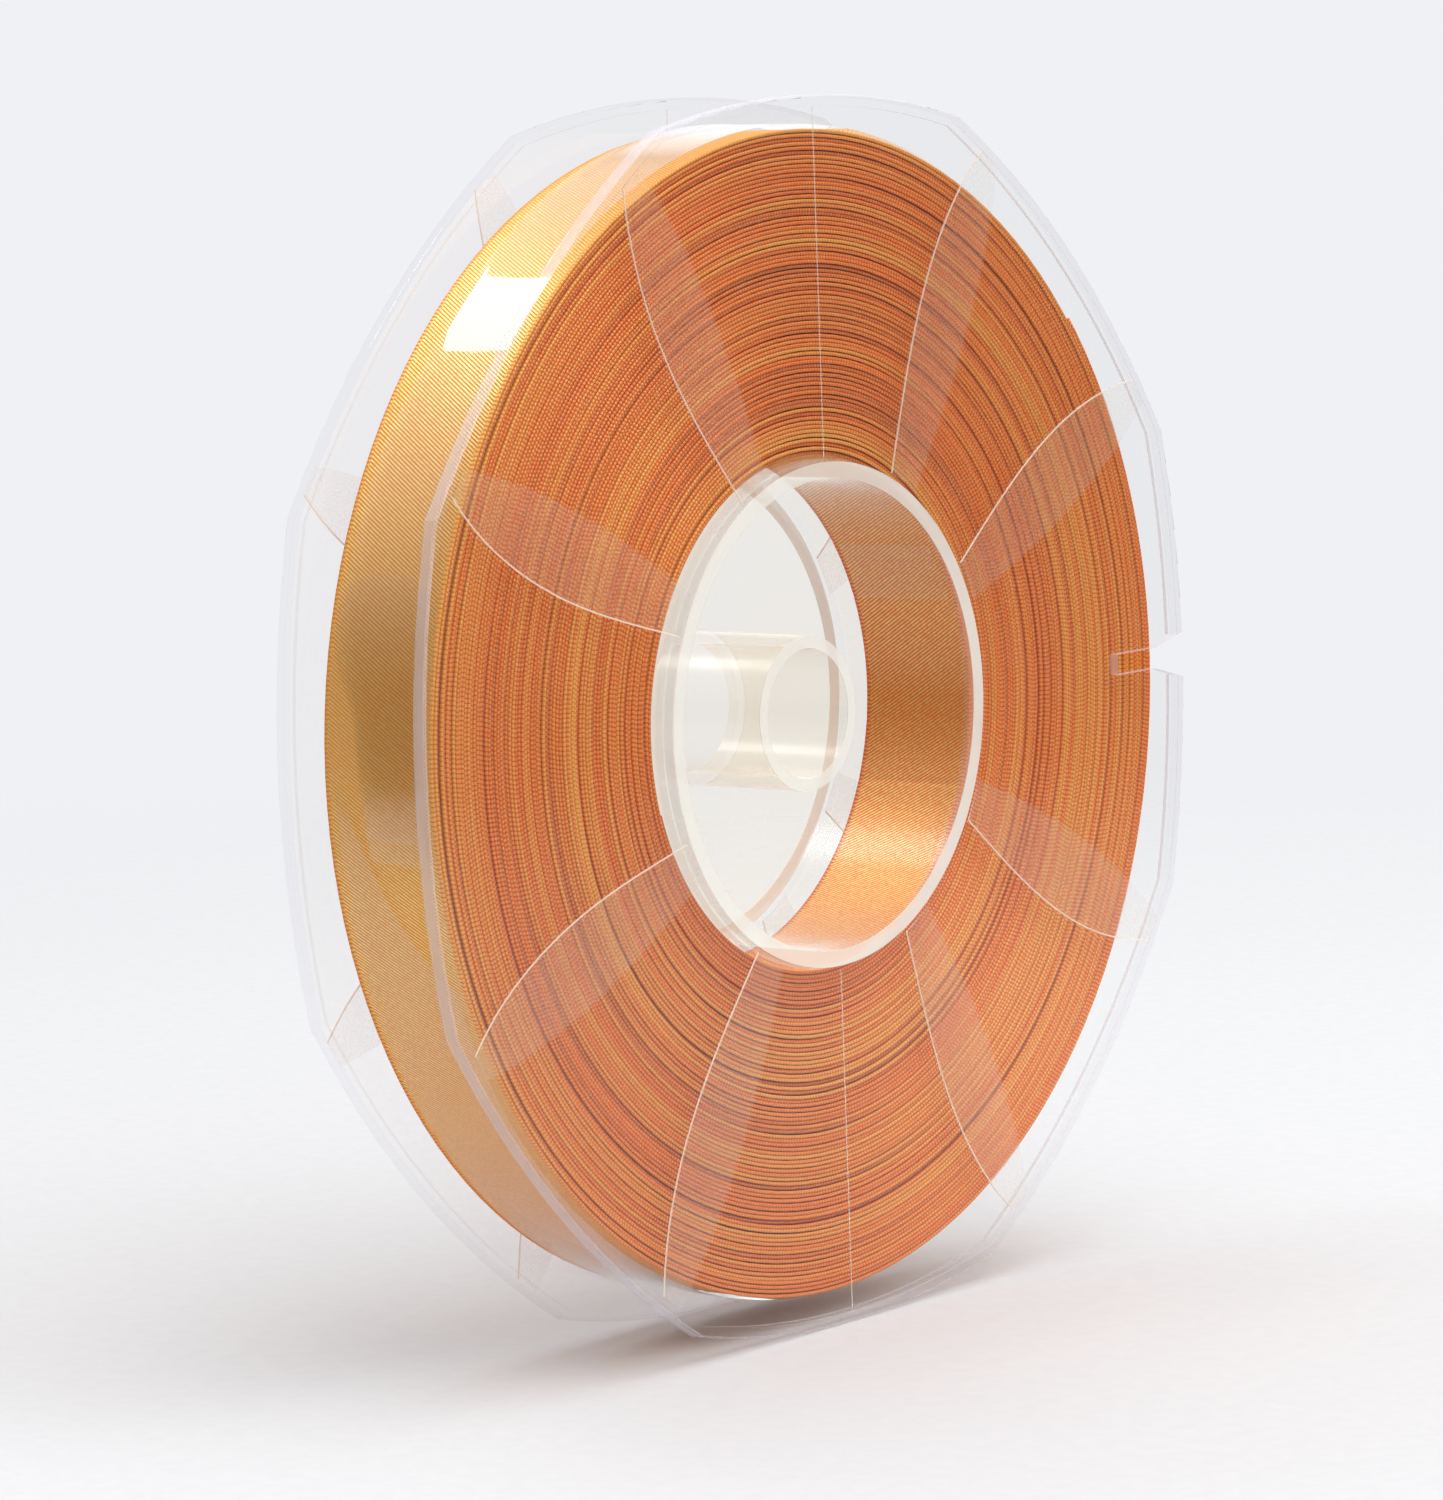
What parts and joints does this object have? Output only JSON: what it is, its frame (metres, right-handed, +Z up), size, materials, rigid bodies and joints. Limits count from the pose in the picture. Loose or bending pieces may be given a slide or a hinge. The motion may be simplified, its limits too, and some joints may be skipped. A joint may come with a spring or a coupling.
{
  "type": "ribbon reel",
  "caption": "Clear eight-sided two-flange reel with a spindle tube, wound with satin ribbon and held by a clear film wrap with a peel tab.",
  "frame": {"origin": "on the spindle tube's axis, halfway between the outer faces of the two flanges", "axes": "+Y along the axis towards the rear flange, +X to the right seen from the front, where the ribbon slot is, +Z up"},
  "size_m": [0.137, 0.0208, 0.137],
  "materials": {
    "clear_flange": "clear polished moulded polystyrene",
    "hub_plastic": "clear moulded polystyrene with a faint cream tint",
    "satin_ribbon": "copper-gold satin weave",
    "clear_film": "clear glossy film",
    "clear_tape": "clear adhesive tape"
  },
  "bodies": {
    "reel": {"front_flange": "clear_flange", "rear_flange": "clear_flange", "hub": "hub_plastic", "ribbon_roll": "satin_ribbon", "film_wrap": "clear_film", "start_tape": "clear_tape"},
    "film_end": {"film_tab": "clear_film"}
  },
  "joints": [
    {"name": "film_tab_peel", "type": "hinge", "parent": "reel", "child": "film_end", "pos_m": [-0.06495, -0.00055, -0.00913], "axis": [0, -1, 0], "range_deg": [0, 80]}
  ]
}
